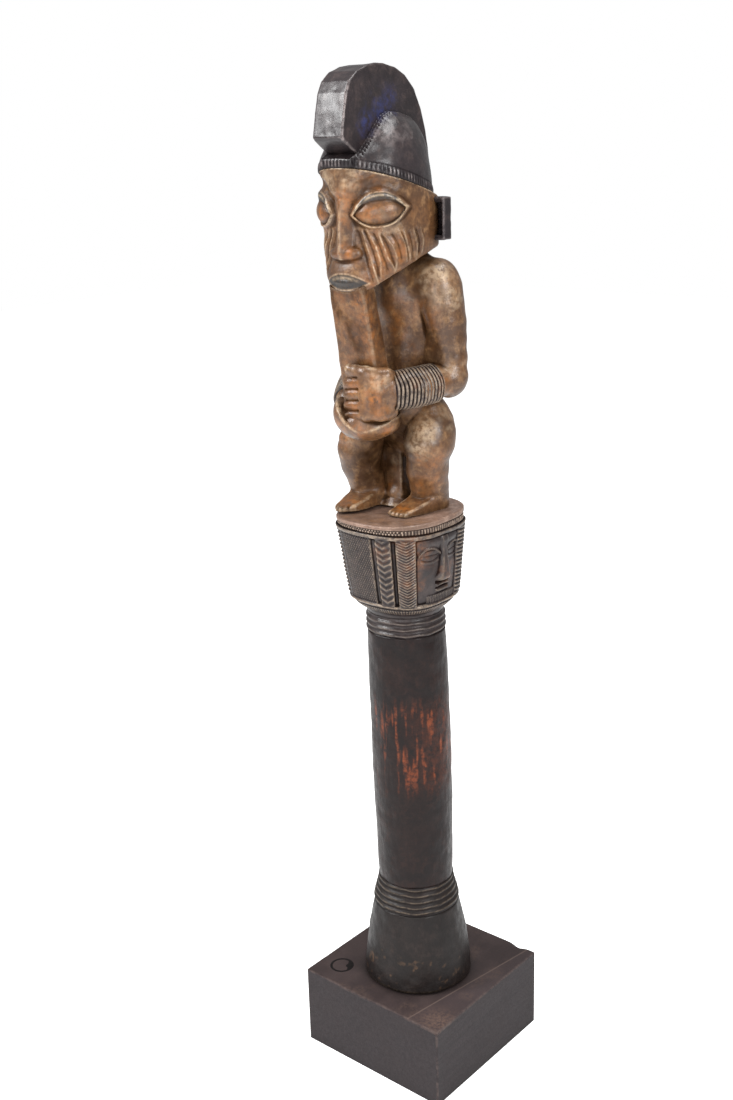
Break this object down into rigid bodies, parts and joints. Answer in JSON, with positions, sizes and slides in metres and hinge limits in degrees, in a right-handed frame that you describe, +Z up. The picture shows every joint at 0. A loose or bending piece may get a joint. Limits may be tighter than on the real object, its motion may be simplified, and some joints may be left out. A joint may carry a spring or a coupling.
{
  "type": "carved wooden scepter",
  "caption": "Carved wooden staff: a figure on bent legs holds a long beard, over a patterned capital, bowed grip and flared foot, on a square display block.",
  "frame": {"origin": "centre of the display block's underside", "axes": "+Z up along the staff, the figure faces -Y, its left side is +X"},
  "size_m": [0.087, 0.0925, 0.4957],
  "materials": {
    "figure_wood": "hand-worn satin",
    "dark_wood": "dark stained satin",
    "capital_wood": "dark stained, worn on the ridges",
    "shaft_wood": "blackened satin",
    "foot_wood": "dark satin",
    "block_wood": "stained semi-matt",
    "steel": "plain ground"
  },
  "bodies": {
    "root": {"base_block": "block_wood", "base_plug": "block_wood", "mount_pin": "steel", "foot": "foot_wood", "lower_collar": "foot_wood", "shaft": "shaft_wood", "upper_collar": "shaft_wood", "capital": "capital_wood", "plinth": "figure_wood", "post": "figure_wood", "left_leg": "figure_wood", "right_leg": "figure_wood", "torso": "figure_wood", "left_arm": "figure_wood", "right_arm": "figure_wood", "left_bracelets": "dark_wood", "right_bracelets": "dark_wood", "beard": "figure_wood", "head": "figure_wood", "left_ear": "dark_wood", "right_ear": "dark_wood", "hair_cap": "dark_wood", "hair_crest": "dark_wood"}
  },
  "joints": []
}
